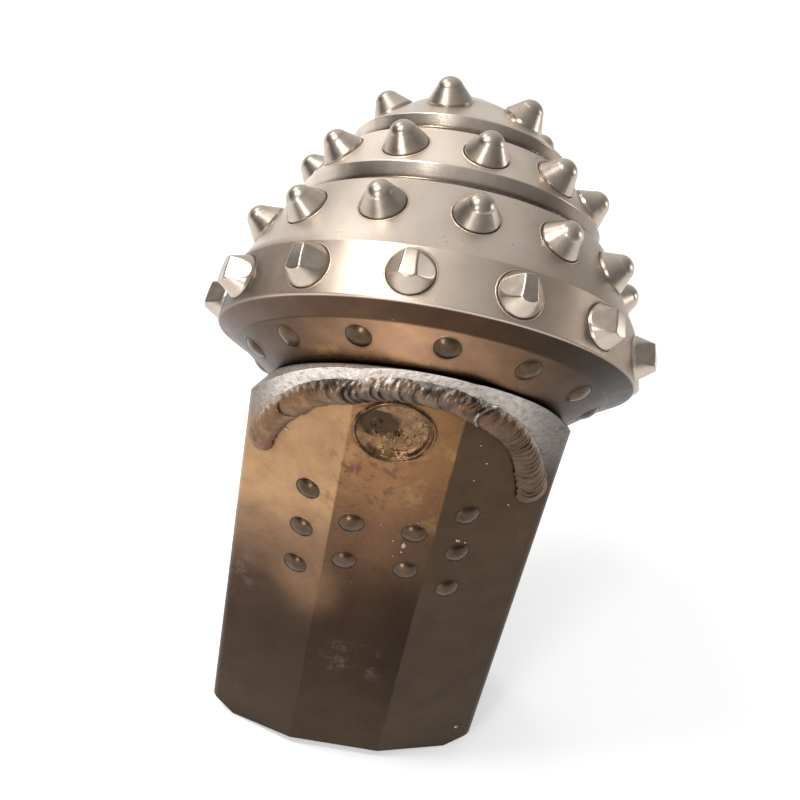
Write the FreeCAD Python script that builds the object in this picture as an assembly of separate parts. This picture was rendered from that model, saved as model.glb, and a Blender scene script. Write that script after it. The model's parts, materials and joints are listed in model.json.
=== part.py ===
"""Single roller cone cutter: one leg of a rock bit with its rolling cone, in millimetres.

The leg stands on its flat cut end, with +Z up along the leg and -Y towards its outer face.
A bearing pin grows out of the leg's sloping upper face, up and inwards at the journal angle.
The cone turns on that pin, held on by a ring of balls and a plug behind them.
Carbide inserts are pressed into the cone in rows, and low domed buttons into the leg's face.

Everything on the cone is drawn in the journal frame and then placed: its z axis is the pin's axis,
z = 0 is the widest edge of the cone, z grows towards the nose, and -y is the side
that faces up and out.
"""

import FreeCAD, Part
import math
import os

from FreeCAD import Placement, Rotation, Vector

OUT = "parts"

# Leg
leg_width = 100.6
leg_depth = 72.0
face_centre = -1.5
centre_facet_width = 34.1
facet_angle = 19.7
back_flat_width = 40.0
mating_angle = 120.0
side_edge_round = 3.0
foot_chamfer_width = 10.0
foot_chamfer_height = 7.0
foot_bevel_depth = 11.5
foot_bevel_rise = 3.5
gauge_height = 168.9
face_to_gauge = 40.0

# Journal axis
journal_angle = 35.2
journal_offset = 2.8
journal_skew = 0.9

# Shirttail, the leg's upper end behind the cone
shirttail_plane = -14.7
shirttail_radius = 48.7
shirttail_flare = 38.0
shirttail_round = 3.5

# Cone, as distances along its axis and radii
cone_gap = 1.0
gauge_radius = 68.4
gauge_land_width = 17.4
gauge_land_taper = 2.4
heel_bevel_depth = 4.3
heel_bevel_drop = 7.8
middle_land_end = 41.9
middle_land_radius = 53.3
outer_groove_width = 7.1
outer_groove_depth = 1.4
inner_land_start_radius = 50.2
inner_land_end = 64.6
inner_land_radius = 39.1
inner_groove_width = 6.2
inner_groove_depth = 1.4
nose_land_start_radius = 36.8
nose_land_end = 83.5
nose_land_radius = 21.5
nose_height = 89.5
nose_flat_radius = 10.0
land_edge_round = 0.7
groove_round = 1.2
nose_round = 9.0

# Carbide inserts and buttons
insert_radius = 7.15
insert_grip = 12.0
insert_collar = 0.6
insert_height = 7.9
insert_tip_radius = 4.6
insert_cone_angle = 22.0
chisel_height = 6.8
chisel_crest_length = 8.6
chisel_crest_width = 4.4
chisel_flank_angle = 38.0
button_radius = 4.0
button_grip = 7.0
button_dome = 1.4
heel_dome = 1.1

# Rows on the cone: how many, the first one's angle, and its distance along the axis
gauge_count = 13
gauge_phase = -37.6
gauge_row_at = 8.9
middle_count = 13
middle_phase = -50.7
middle_row_at = 31.7
inner_count = 11
inner_phase = -58.3
inner_row_at = 56.6
nose_count = 6
nose_phase = -77.4
nose_row_at = 80.3
heel_count = 13
heel_phase = -79.9
heel_row_at = -8.2

# Bearing
journal_radius = 28.0
journal_end = 12.0
race_land_radius = 22.5
race_land_end = 26.4
pilot_radius = 13.5
pilot_end = 44.0
ball_radius = 6.35
ball_pitch_radius = 23.5
ball_row_at = 19.2
ball_count = 11
race_clearance = 0.15
race_land_gap = 2.1
running_clearance = 0.08
end_clearance = 0.3
bushing_wall = 3.0
seal_radius = 3.0
seal_gland_depth = 6.4
thrust_washer_bore = 4.0
thrust_washer_thickness = 2.8
journal_root = 6.0

# Ball plug and the weld that closes it
plug_x = -4.6
plug_above_bead_centre = 29.6
plug_radius = 6.8
plug_clearance = 0.1
weld_radius = 13.2
weld_depth = 4.0
weld_dish = 1.3
weld_rim_width = 1.4
weld_rim_height = 0.4

# Hardfacing bead on the shirttail
bead_path_radius = 46.5
bead_centre_x = -0.5
bead_centre_below_gauge = 24.9
bead_half_width = 4.4
bead_height = 2.6

# Buttons on the leg's face, in columns to each side of its middle
outer_column = 26.7
inner_column = 10.3
outer_column_count = 3
inner_column_count = 2
first_button_below_bead_centre = 4.9
button_pitch = 18.7

FAR = 400.0

face_y = -leg_depth / 2
back_y = leg_depth / 2
side_x = leg_width / 2
facet_slope = math.tan(math.radians(facet_angle))
journal_frame = Placement(
    Vector(journal_offset, face_y + face_to_gauge, gauge_height),
    Rotation(Vector(0, 0, 1), -journal_skew).multiply(Rotation(Vector(1, 0, 0), journal_angle - 90.0)),
)
cone_back = shirttail_plane + cone_gap
bead_centre_height = gauge_height - bead_centre_below_gauge
plug_height = bead_centre_height + plug_above_bead_centre
first_button_height = bead_centre_height - first_button_below_bead_centre


def fold_x(side):
    """Where the centre facet ends on that side, -1 for the left and 1 for the right."""
    return face_centre + side * centre_facet_width / 2


def moved(shape, placement):
    """A copy of the shape, carried by the placement."""
    copy = shape.copy()
    copy.Placement = placement.multiply(copy.Placement)
    return copy


def in_journal(shape):
    """A shape drawn in the journal frame, placed in the part's frame."""
    return moved(shape, journal_frame)


def outline(points):
    """A closed wire through (radius, distance along the axis) corners, each with an optional rounding."""
    corners = [Vector(point[0], 0, point[1]) for point in points]
    rounds = [point[2] if len(point) > 2 else 0 for point in points]
    edges = []
    entries = []
    exits = []
    for n, corner in enumerate(corners):
        entries.append(corner)
        exits.append(corner)
        if not rounds[n]:
            continue
        before = (corners[n - 1] - corner).normalize()
        after = (corners[(n + 1) % len(corners)] - corner).normalize()
        half = before.getAngle(after) / 2
        entries[n] = corner + before * (rounds[n] / math.tan(half))
        exits[n] = corner + after * (rounds[n] / math.tan(half))
        middle = corner + (before + after).normalize() * (rounds[n] / math.sin(half) - rounds[n])
        edges.append(Part.Arc(entries[n], middle, exits[n]).toShape())
    for n, start in enumerate(exits):
        end = entries[(n + 1) % len(entries)]
        if start.distanceToPoint(end) > 1e-6:
            edges.append(Part.makeLine(start, end))
    return Part.Wire(Part.__sortEdges__(edges))


def revolved(points):
    """The solid turned from a closed outline of (radius, distance along the axis) corners."""
    return Part.Face(outline(points)).revolve(Vector(0, 0, 0), Vector(0, 0, 1), 360)


def prism(points, low, high):
    """The solid over a closed outline of (x, y) points, from one height to another."""
    corners = [Vector(x, y, low) for x, y in points]
    outline = Part.Face(Part.makePolygon(corners + corners[:1]))
    return outline.extrude(Vector(0, 0, high - low))


# The leg's face

def facet_frame(side):
    """Where x runs along a facet as if the face were unfolded, z is up and -y points out."""
    if side == 0:
        return Placement(Vector(0, face_y, 0), Rotation())
    fold = Vector(fold_x(side), face_y, 0)
    turn = Rotation(Vector(0, 0, 1), side * facet_angle)
    return Placement(fold - turn.multVec(Vector(fold_x(side), 0, 0)), turn)


def side_of(along):
    """Which facet holds a distance across the unfolded face."""
    if fold_x(-1) <= along <= fold_x(1):
        return 0
    return 1 if along > fold_x(1) else -1


def leg_block():
    """The leg's straight block: three outer facets, two mating faces behind, a bevelled foot."""
    left_fold = face_y + (side_x + fold_x(-1)) * facet_slope
    right_fold = face_y + (side_x - fold_x(1)) * facet_slope
    back_x = back_flat_width / 2
    mating_rise = (side_x - back_x) / math.tan(math.radians(mating_angle / 2))
    block = prism([
        (fold_x(-1), face_y),
        (fold_x(1), face_y),
        (side_x, right_fold),
        (side_x, back_y - mating_rise),
        (back_x, back_y),
        (-back_x, back_y),
        (-side_x, back_y - mating_rise),
        (-side_x, left_fold),
    ], 0, gauge_height + gauge_radius)
    outer_edges = [
        edge for edge in block.Edges
        if abs(edge.CenterOfMass.x) > side_x - 1e-6 and edge.CenterOfMass.y < (left_fold + right_fold) / 2 + 1
        and edge.Length > gauge_height
    ]
    block = block.makeFillet(side_edge_round, outer_edges)
    for side in (-1, 1):
        wedge = [
            Vector(side * side_x, face_y, 0),
            Vector(side * (side_x - foot_chamfer_width), face_y, 0),
            Vector(side * side_x, face_y, foot_chamfer_height),
        ]
        corner = Part.Face(Part.makePolygon(wedge + wedge[:1]))
        block = block.cut(corner.extrude(Vector(0, leg_depth, 0)))
    wedge = [
        Vector(-side_x, face_y, 0),
        Vector(-side_x, face_y + foot_bevel_depth, 0),
        Vector(-side_x, face_y, foot_bevel_rise),
    ]
    bevel = Part.Face(Part.makePolygon(wedge + wedge[:1])).extrude(Vector(leg_width, 0, 0))
    return block.cut(bevel)


def shirttail_envelope(depth):
    """What the leg's upper end may fill: a flared, round-edged disc, run on downwards as a trough."""
    wide = shirttail_radius + depth * math.tan(math.radians(shirttail_flare))
    low = shirttail_plane - depth
    edge = (shirttail_radius, shirttail_plane, shirttail_round)
    turned = revolved([(0, low), (wide, low), edge, (0, shirttail_plane)])
    other_edge = (-shirttail_radius, shirttail_plane, shirttail_round)
    section = Part.Face(outline([(-wide, low), (wide, low), edge, other_edge]))
    return turned.fuse(section.extrude(Vector(0, FAR, 0)))


def journal_pin():
    """The bearing pin: main journal, the balls' land and pilot pin, rooted in the leg."""
    return revolved([
        (0, shirttail_plane - journal_root),
        (journal_radius, shirttail_plane - journal_root),
        (journal_radius, journal_end),
        (race_land_radius, journal_end),
        (race_land_radius, race_land_end),
        (pilot_radius, race_land_end),
        (pilot_radius, pilot_end),
        (0, pilot_end),
    ])


def ball_race():
    """The ring-shaped space that the balls run in, half in the pin and half in the cone."""
    return Part.makeTorus(ball_pitch_radius, ball_radius + race_clearance, Vector(0, 0, ball_row_at))


def plug_line():
    """The ball hole's start on the leg's face and its direction, towards the ball race."""
    start = Vector(plug_x, face_y, plug_height)
    across = plug_x - journal_offset
    down = math.sqrt(ball_pitch_radius ** 2 - across ** 2)
    race_point = journal_frame.multVec(Vector(across, down, ball_row_at))
    return start, race_point - start


def plug_cylinder(radius, overrun):
    """A rod along the ball hole, from outside the face to that far past the race's centre."""
    start, reach = plug_line()
    direction = Vector(reach).normalize()
    return Part.makeCylinder(
        radius, reach.Length + weld_depth + overrun, start - direction * weld_depth, direction
    )


def weld_pocket():
    """The counterbore at the ball hole's mouth, which the closing weld fills."""
    mouth = Vector(plug_x, face_y - weld_depth, plug_height)
    return Part.makeCylinder(weld_radius, 2 * weld_depth, mouth, Vector(0, 1, 0))


def leg_before_drilling():
    """Block and pin as one forging, before the ball race and the holes."""
    depth = shirttail_radius
    above = Part.makeBox(2 * FAR, 2 * FAR, FAR, Vector(-FAR, -FAR, shirttail_plane - depth))
    block = leg_block().cut(in_journal(above.cut(shirttail_envelope(depth))))
    return block.fuse(in_journal(journal_pin())).removeSplitter()


# Pressed-in carbide

def domed_button(dome):
    """A low round button: its axis is z, and z = 0 is the surface that it is pressed into."""
    sphere_radius = (button_radius ** 2 + dome ** 2) / (2 * dome)
    cap = Part.makeSphere(sphere_radius, Vector(0, 0, dome - sphere_radius))
    shank = Part.makeCylinder(button_radius, button_grip + dome, Vector(0, 0, -button_grip))
    return shank.common(cap.fuse(Part.makeCylinder(FAR, FAR, Vector(0, 0, -FAR))))


def conical_insert():
    """A rock insert with a straight grip, a conical flank and a rounded tip."""
    slope = math.radians(insert_cone_angle)
    centre = insert_height - insert_tip_radius
    touch_radius = insert_tip_radius * math.cos(slope)
    touch_height = centre + insert_tip_radius * math.sin(slope)
    flank_foot = touch_height - (insert_radius - touch_radius) / math.tan(slope)
    side = [
        Vector(0, 0, -insert_grip),
        Vector(insert_radius, 0, -insert_grip),
        Vector(insert_radius, 0, max(flank_foot, insert_collar)),
        Vector(touch_radius, 0, touch_height),
    ]
    halfway = math.radians((insert_cone_angle + 90.0) / 2)
    on_tip = Vector(insert_tip_radius * math.cos(halfway), 0, centre + insert_tip_radius * math.sin(halfway))
    top = Vector(0, 0, insert_height)
    edges = list(Part.makePolygon(side).Edges)
    edges.append(Part.Arc(side[-1], on_tip, top).toShape())
    edges.append(Part.makeLine(top, side[0]))
    return Part.Face(Part.Wire(edges)).revolve(Vector(0, 0, 0), Vector(0, 0, 1), 360)


def chisel_insert():
    """A gauge insert: a tapered stub cut by two flanks to a blunt crest that runs along x."""
    crest_half = chisel_crest_length / 2
    stub = revolved([
        (0, -insert_grip),
        (insert_radius, -insert_grip),
        (insert_radius, insert_collar),
        (crest_half, chisel_height),
        (0, chisel_height),
    ])
    lean = math.tan(math.radians(chisel_flank_angle))
    half = chisel_crest_width / 2
    for side in (-1, 1):
        flank = [
            Vector(-FAR, side * half, chisel_height),
            Vector(-FAR, side * (half + chisel_height * lean), 0),
            Vector(-FAR, side * FAR, 0),
            Vector(-FAR, side * FAR, chisel_height),
        ]
        waste = Part.Face(Part.makePolygon(flank + flank[:1])).extrude(Vector(2 * FAR, 0, 0))
        stub = stub.cut(waste)
    return stub


def ring_of(shape, row, low, high):
    """Copies of the shape in a row on the cone, standing on the land between two of its corners."""
    count, phase, along = row
    (start, start_radius), (end, end_radius) = low, high
    radius = start_radius + (end_radius - start_radius) * (along - start) / (end - start)
    tilt = 90.0 + math.degrees(math.atan2(end_radius - start_radius, end - start))
    copies = []
    for n in range(count):
        lean = Placement(Vector(radius, 0, along), Rotation(Vector(0, 1, 0), tilt))
        turn = Placement(Vector(), Rotation(Vector(0, 0, 1), phase - 90.0 + 360.0 * n / count))
        copies.append(moved(moved(shape, lean), turn))
    return copies


# The cone's outline

def cone_corners():
    """The cone's outer outline as named (distance along the axis, radius, rounding) corners."""
    heel = (-heel_bevel_depth, gauge_radius - heel_bevel_drop)
    back_drop = (heel[0] - cone_back) / math.tan(math.radians(journal_angle))
    outer_groove_end = middle_land_end + outer_groove_width
    inner_groove_end = inner_land_end + inner_groove_width
    return {
        "back": (cone_back, heel[1] - back_drop, land_edge_round),
        "heel": heel + (land_edge_round,),
        "gauge_low": (0.0, gauge_radius, land_edge_round),
        "gauge_high": (gauge_land_width, gauge_radius - gauge_land_taper, land_edge_round),
        "middle_end": (middle_land_end, middle_land_radius, land_edge_round),
        "outer_groove": (
            middle_land_end + outer_groove_depth, inner_land_start_radius - outer_groove_depth, groove_round,
        ),
        "inner_start": (outer_groove_end, inner_land_start_radius, land_edge_round),
        "inner_end": (inner_land_end, inner_land_radius, land_edge_round),
        "inner_groove": (
            inner_land_end + inner_groove_depth, nose_land_start_radius - inner_groove_depth, groove_round,
        ),
        "nose_start": (inner_groove_end, nose_land_start_radius, land_edge_round),
        "nose_end": (nose_land_end, nose_land_radius, nose_round),
        "nose": (nose_height, nose_flat_radius, land_edge_round),
    }


def cone_body():
    """The cone before its insert holes: turned outside, with the bearing bore inside."""
    outside = [(radius, along, rounding) for along, radius, rounding in cone_corners().values()]
    solid = revolved([(0, cone_back)] + outside + [(0, nose_height)])
    return solid.cut(revolved(bore_outline())).cut(ball_race())


def bore_outline():
    """The cone's stepped bore, from the seal's gland to the thrust washer's seat."""
    bush_seat = journal_radius + bushing_wall
    gland_radius = journal_radius + 2 * seal_radius + 2 * race_clearance
    gland_end = cone_back + seal_gland_depth
    race_start = journal_end + end_clearance
    pilot_start = race_land_end + end_clearance
    race_bore = race_land_radius + race_land_gap
    pilot_seat = pilot_radius + bushing_wall
    washer_seat = pilot_end + end_clearance + thrust_washer_thickness
    return [
        (0, cone_back - cone_gap),
        (gland_radius, cone_back - cone_gap),
        (gland_radius, gland_end),
        (bush_seat, gland_end),
        (bush_seat, race_start),
        (race_bore, race_start),
        (race_bore, pilot_start),
        (pilot_seat, pilot_start),
        (pilot_seat, washer_seat),
        (0, washer_seat),
    ]


def sleeve(inner, outer, low, high):
    """A plain ring about the journal axis."""
    return revolved([(inner, low), (outer, low), (outer, high), (inner, high)])


# Pieces

def insert_rows():
    """Every pressed-in row of the cone, by name: one solid for each insert."""
    corner = {name: values[:2] for name, values in cone_corners().items()}
    conical = conical_insert()
    chisel = chisel_insert()
    button = domed_button(heel_dome)
    gauge = (gauge_count, gauge_phase, gauge_row_at)
    middle = (middle_count, middle_phase, middle_row_at)
    inner = (inner_count, inner_phase, inner_row_at)
    nose = (nose_count, nose_phase, nose_row_at)
    heel = (heel_count, heel_phase, heel_row_at)
    return {
        "gauge_insert": ring_of(chisel, gauge, corner["gauge_low"], corner["gauge_high"]),
        "middle_insert": ring_of(conical, middle, corner["gauge_high"], corner["middle_end"]),
        "inner_insert": ring_of(conical, inner, corner["inner_start"], corner["inner_end"]),
        "nose_insert": ring_of(conical, nose, corner["nose_start"], corner["nose_end"]),
        "heel_button": ring_of(button, heel, corner["back"], corner["heel"]),
    }


def leg_buttons():
    """The domed buttons of the leg's face: two columns to each side, the inner one half a pitch lower."""
    flat = Rotation(Vector(1, 0, 0), 90.0)
    button = moved(domed_button(button_dome), Placement(Vector(), flat))
    places = []
    for side in (-1, 1):
        outer = face_centre + side * outer_column
        inner = face_centre + side * inner_column
        places += [(outer, first_button_height - n * button_pitch) for n in range(outer_column_count)]
        places += [(inner, first_button_height - (n + 0.5) * button_pitch) for n in range(inner_column_count)]
    made = []
    for along, height in places:
        frame = facet_frame(side_of(along))
        made.append(moved(button, frame.multiply(Placement(Vector(along, 0, height), Rotation()))))
    return made


def bead_arch():
    """The bead as if the face were unfolded: a half ring of domed section with rounded ends."""
    middle = Vector(bead_centre_x, 0, bead_centre_height)
    out = Vector(0, -1, 0)
    across = Vector(bead_half_width, 0, 0)
    crown = out * bead_height
    start = middle + Vector(bead_path_radius, 0, 0)
    dome = Part.Arc(start - across, start + crown, start + across).toShape()
    section = Part.Face(Part.Wire([dome, Part.makeLine(start + across, start - across)]))
    arch = section.revolve(middle, out, 180)
    ends = []
    for side in (-1, 1):
        end = middle + Vector(side * bead_path_radius, 0, 0)
        sphere_radius = (bead_half_width ** 2 + bead_height ** 2) / (2 * bead_height)
        ball = Part.makeSphere(sphere_radius, end + out * (bead_height - sphere_radius))
        ends.append(ball.common(Part.makeBox(2 * FAR, FAR, 2 * FAR, Vector(-FAR, -FAR, -FAR))))
    return arch.fuse(ends)


def hardfacing_bead():
    """The weld bead that arches over the leg's face: the unfolded arch, mitred where the facets meet."""
    arch = bead_arch()
    reach = 2 * bead_height
    lean = reach * math.tan(math.radians(facet_angle / 2))
    folds = [-FAR, fold_x(-1), fold_x(1), FAR]
    pieces = []
    for side in (-1, 0, 1):
        left, right = folds[side + 1], folds[side + 2]
        zone = prism([(left, 0), (right, 0), (right + lean, -reach), (left - lean, -reach)], 0, FAR)
        pieces.append(moved(arch.common(zone), facet_frame(side)))
    return pieces[0].fuse(pieces[1:])


def plug_weld():
    """The weld that closes the ball hole: a shallow dish inside a low raised rim."""
    rim_inside = weld_radius - weld_rim_width
    dish = revolved([
        (0, -weld_depth),
        (weld_radius, -weld_depth),
        (weld_radius, 0),
        (weld_radius - weld_rim_width / 3, weld_rim_height),
        (rim_inside, weld_rim_height / 2),
        (rim_inside - weld_rim_width, -weld_dish / 2),
        (weld_radius / 2, -weld_dish),
        (0, -weld_dish),
    ])
    outward = Rotation(Vector(1, 0, 0), 90.0)
    return moved(dish, Placement(Vector(plug_x, face_y, plug_height), outward))


def bearing_pieces():
    """Bushings, thrust washer, seal and balls, in the journal frame."""
    seal_at = cone_back + seal_gland_depth - seal_radius - race_clearance
    seal_middle = journal_radius + race_clearance + seal_radius
    washer_low = pilot_end + end_clearance
    balls = []
    for n in range(ball_count):
        angle = 2 * math.pi * n / ball_count
        centre = Vector(ball_pitch_radius * math.cos(angle), ball_pitch_radius * math.sin(angle), ball_row_at)
        balls.append(Part.makeSphere(ball_radius, centre))
    return {
        "journal_bushing": sleeve(
            journal_radius + running_clearance,
            journal_radius + bushing_wall,
            cone_back + seal_gland_depth,
            journal_end,
        ),
        "pilot_bushing": sleeve(
            pilot_radius + running_clearance,
            pilot_radius + bushing_wall,
            race_land_end + 2 * end_clearance,
            pilot_end,
        ),
        "thrust_washer": sleeve(
            thrust_washer_bore,
            pilot_radius + bushing_wall,
            washer_low,
            washer_low + thrust_washer_thickness,
        ),
        "seal_ring": Part.makeTorus(seal_middle, seal_radius, Vector(0, 0, seal_at)),
        "retaining_balls": Part.makeCompound(balls),
    }


def build():
    """Every node of the part, by name."""
    nodes = {}
    forging = leg_before_drilling()
    race = in_journal(ball_race())
    buttons = leg_buttons()
    bead = hardfacing_bead()
    hole = plug_cylinder(plug_radius + plug_clearance, ball_radius / 2)
    plug = plug_cylinder(plug_radius, -ball_radius / 2)
    nodes["leg"] = forging.cut([race, hole, weld_pocket()] + buttons)
    nodes["ball_plug"] = plug.common(forging).cut([race, weld_pocket()])
    nodes["ball_plug_weld"] = plug_weld().cut(bead)
    nodes["shirttail_hardfacing"] = bead
    for n, button in enumerate(buttons, start=1):
        nodes[f"leg_button_{n:02d}"] = button

    rows = insert_rows()
    pressed = [solid for row in rows.values() for solid in row]
    nodes["cone_shell"] = in_journal(cone_body().cut(pressed))
    for name in ("gauge_insert", "middle_insert", "nose_insert"):
        for n, solid in enumerate(rows[name], start=1):
            nodes[f"{name}_{n:02d}"] = in_journal(solid)
    for name in ("inner_insert", "heel_button"):
        nodes[f"{name}s"] = in_journal(Part.makeCompound(rows[name]))
    for name, solid in bearing_pieces().items():
        nodes[name] = in_journal(solid)
    return nodes


def main():
    os.makedirs(OUT, exist_ok=True)
    for name, shape in build().items():
        shape.exportStep(os.path.join(OUT, name + ".step"))
        print(name, len(shape.Solids), "solids", round(shape.Volume, 1), "mm3", shape.isValid())


main()
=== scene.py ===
"""The looks of a single roller cone cutter: one leg of a rock bit with its rolling cone.

Sizes are in millimetres and are turned into metres by MM. The part stands on the leg's cut end.
Pieces on the cone are drawn in the journal frame: z along the bearing pin, z = 0 at the gauge edge,
-y on the side that faces up and out. Pieces on the leg are drawn on its unfolded face.
"""

import json
import math
import random

import bpy
from mathutils import Matrix, Vector, noise


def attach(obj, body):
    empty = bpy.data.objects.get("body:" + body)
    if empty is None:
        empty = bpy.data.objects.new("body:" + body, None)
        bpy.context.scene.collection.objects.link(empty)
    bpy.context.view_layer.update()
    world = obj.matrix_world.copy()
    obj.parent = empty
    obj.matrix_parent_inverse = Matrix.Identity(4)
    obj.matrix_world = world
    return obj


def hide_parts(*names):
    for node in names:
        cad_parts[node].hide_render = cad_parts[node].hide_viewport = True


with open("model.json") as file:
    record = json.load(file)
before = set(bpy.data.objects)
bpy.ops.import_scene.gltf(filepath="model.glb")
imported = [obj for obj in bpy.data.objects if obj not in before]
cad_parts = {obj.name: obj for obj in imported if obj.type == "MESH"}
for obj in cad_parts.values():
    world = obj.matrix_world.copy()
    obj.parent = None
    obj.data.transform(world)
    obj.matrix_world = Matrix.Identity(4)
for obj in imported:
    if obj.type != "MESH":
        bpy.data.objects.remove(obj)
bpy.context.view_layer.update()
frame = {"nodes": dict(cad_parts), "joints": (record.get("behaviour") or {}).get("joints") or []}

MM = 0.001

# Leg's face
leg_depth = 72.0
face_centre = -1.5
centre_facet_width = 34.1
facet_angle = math.radians(19.7)
face_y = -leg_depth / 2
fold_left = face_centre - centre_facet_width / 2
fold_right = face_centre + centre_facet_width / 2
outer_column = 26.7
inner_column = 10.3
first_button_height = 139.1
button_pitch = 18.7
plug_x = -4.6
plug_height = 173.6
weld_radius = 13.2
weld_depth = 4.0
fold_round = 1.5

# Places that the leg's colour follows, in millimetres: across, height. The first is the middle of a painted pool of
# light, the second of purple spots, and the last two give the bare rim's round edge.
painted_glow_place = (-22.5, 94.0)
purple_place = (-13.0, 157.0)
rim_centre = (-0.5, 144.0)
rim_radius = 46.2

# Cone's lands: distance along the axis and radius at each end
heel_land = (-13.7, 47.27, -4.3, 60.6)
gauge_land = (0.0, 68.4, 17.4, 66.0)
middle_land = (17.4, 66.0, 41.9, 53.3)
inner_land = (49.0, 50.2, 64.6, 39.1)
nose_start = 70.8

# Rows on the cone: how many, the first one's angle, its distance along the axis, and its land
gauge_row = (13, -37.6, 8.9, gauge_land)
middle_row = (13, -50.7, 31.7, middle_land)
inner_row = (11, -58.3, 56.6, inner_land)
heel_row = (13, -79.9, -8.2, heel_land)

# Carbide
insert_radius = 7.15
insert_grip = 12.0
insert_collar = 0.6
chisel_height = 6.8
chisel_crest_half_length = 4.3
chisel_crest_half_width = 2.2
chisel_flank = math.tan(math.radians(38.0))
button_radius = 4.0

# Hardfacing bead's middle line, as places on the unfolded face: across, height
bead_line = [
    (-47.5, 147.3), (-45.7, 156.2), (-42.0, 165.9), (-36.8, 173.3), (-31.1, 179.7), (-25.2, 184.1),
    (-19.3, 187.1), (-13.8, 189.6), (-8.3, 191.1), (-2.6, 191.5), (3.2, 191.5), (9.0, 191.1),
    (15.2, 189.0), (22.7, 184.5), (31.1, 177.5), (37.3, 169.3), (41.9, 159.2), (44.8, 150.1), (46.0, 143.8),
]
bead_half_width = 4.5
bead_height = 2.4
bead_steps = 1100
bead_across = 32

# Shares of the bead's line: where its last lap starts, and its notches
last_lap = 0.637
notches = [0.155, 0.335, 0.352, 0.366, 0.395, 0.412, 0.455, 0.535]

seat_segments = 64

random.seed(11)

spin = next(joint for joint in frame["joints"] if joint["name"] == "cone_spin")
spin_axis = Vector(spin["axis"]).normalized()
journal = (
    Matrix.Translation(spin["pos_m"])
    @ Matrix.Rotation(-math.atan2(spin_axis.x, spin_axis.y), 4, "Z")
    @ Matrix.Rotation(math.asin(spin_axis.z) - math.pi / 2, 4, "X")
)


# Numbers

def clamp(value):
    """A value held between 0 and 1."""
    return min(max(value, 0.0), 1.0)


def ramp_up(value, start, width):
    """0 up to start, 1 from a width past it."""
    return clamp((value - start) / width)


def ramp_down(value, end, width):
    """1 up to a width short of end, 0 from there."""
    return clamp((end - value) / width)


# Meshes

def make_object(name, points, faces, material, body, place=None, marks=None):
    """An object from points in millimetres, with values marked on them, riding on a body."""
    mesh = bpy.data.meshes.new(name)
    mesh.from_pydata([Vector(point) * MM for point in points], [], faces)
    mesh.polygons.foreach_set("use_smooth", [True] * len(mesh.polygons))
    for mark, values in (marks or {}).items():
        mesh.attributes.new(mark, "FLOAT", "POINT").data.foreach_set("value", values)
    mesh.materials.append(material)
    mesh.update()
    piece = bpy.data.objects.new(name, mesh)
    bpy.context.scene.collection.objects.link(piece)
    if place is not None:
        piece.matrix_world = place
    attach(piece, body)
    return piece


def relief(radius, base, height, rings, segments):
    """A closed round plug: its top follows height(x, y), its bottom lies flat at base."""
    points = [(0, 0, height(0, 0))]
    faces = []
    for ring in range(1, rings + 1):
        r = radius * ring / rings
        for n in range(segments):
            angle = 2 * math.pi * n / segments
            x, y = r * math.cos(angle), r * math.sin(angle)
            points.append((x, y, height(x, y)))
    for n in range(segments):
        angle = 2 * math.pi * n / segments
        points.append((radius * math.cos(angle), radius * math.sin(angle), base))
    points.append((0, 0, base))
    for n in range(segments):
        m = (n + 1) % segments
        faces.append((0, 1 + n, 1 + m))
        for ring in range(rings):
            low = 1 + ring * segments
            faces.append((low + n, low + segments + n, low + segments + m, low + m))
        last = 1 + rings * segments
        faces.append((last + n, len(points) - 1, last + m))
    return points, faces


def smooth_min(a, b, width):
    """The lower of two heights, with the crease between them rounded over a width."""
    mix = max(width - abs(a - b), 0.0) / width
    return min(a, b) - mix * mix * width / 4


def facet_at(along):
    """Where the face folds nearest a place, how far past that the place is, and its facet's turn."""
    fold = min(max(along, fold_left), fold_right)
    beyond = along - fold
    return fold, beyond, facet_angle * (1 if beyond > 0 else -1 if beyond < 0 else 0)


def unfold(along, height, out):
    """Where a point of the unfolded face lies, that far out from it."""
    fold, beyond, turn = facet_at(along)
    near = min(along - fold_left, fold_right - along)
    lean = turn if beyond else 0.0
    if abs(near) < fold_round:
        side = 1 if along > face_centre else -1
        lean = side * facet_angle * (0.5 - near / (2 * fold_round))
    x = fold + beyond * math.cos(turn) + out * math.sin(lean)
    y = face_y + beyond * math.sin(turn) - out * math.cos(lean)
    return (x, y, height)


def on_face(along, height):
    """The matrix that puts a piece's z axis out of the leg's face at a place."""
    return (
        Matrix.Translation(Vector(unfold(along, height, 0.0)) * MM)
        @ Matrix.Rotation(facet_at(along)[2], 4, "Z")
        @ Matrix.Rotation(math.pi / 2, 4, "X")
    )


def row_places(row):
    """The matrix of each insert of a row: z out of the land, x towards the cone's back."""
    count, phase, along, (start, start_radius, end, end_radius) = row
    radius = start_radius + (end_radius - start_radius) * (along - start) / (end - start)
    tilt = math.pi / 2 + math.atan2(end_radius - start_radius, end - start)
    places = []
    for n in range(count):
        turn = math.radians(phase - 90.0) + 2 * math.pi * n / count
        places.append(
            journal
            @ Matrix.Rotation(turn, 4, "Z")
            @ Matrix.Translation(Vector((radius, 0, along)) * MM)
            @ Matrix.Rotation(tilt, 4, "Y")
        )
    return places


def land_under(row):
    """How the land falls away under an insert of the row: its height at (x, y) in the insert's frame."""
    along, (start, start_radius, end, end_radius) = row[2:]
    lean = math.atan2(end_radius - start_radius, end - start)
    radius = start_radius + (end_radius - start_radius) * (along - start) / (end - start)

    def height(x, y):
        z = 0.0
        for _ in range(5):
            out = radius - x * math.sin(lean) + z * math.cos(lean)
            land = radius - (x * math.cos(lean) + z * math.sin(lean)) * math.tan(lean)
            z -= (math.hypot(out, y) - land) * math.cos(lean)
        return z

    return height


def flat_land(x, y):
    """The leg's facets are flat under their buttons."""
    return 0.0


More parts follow.
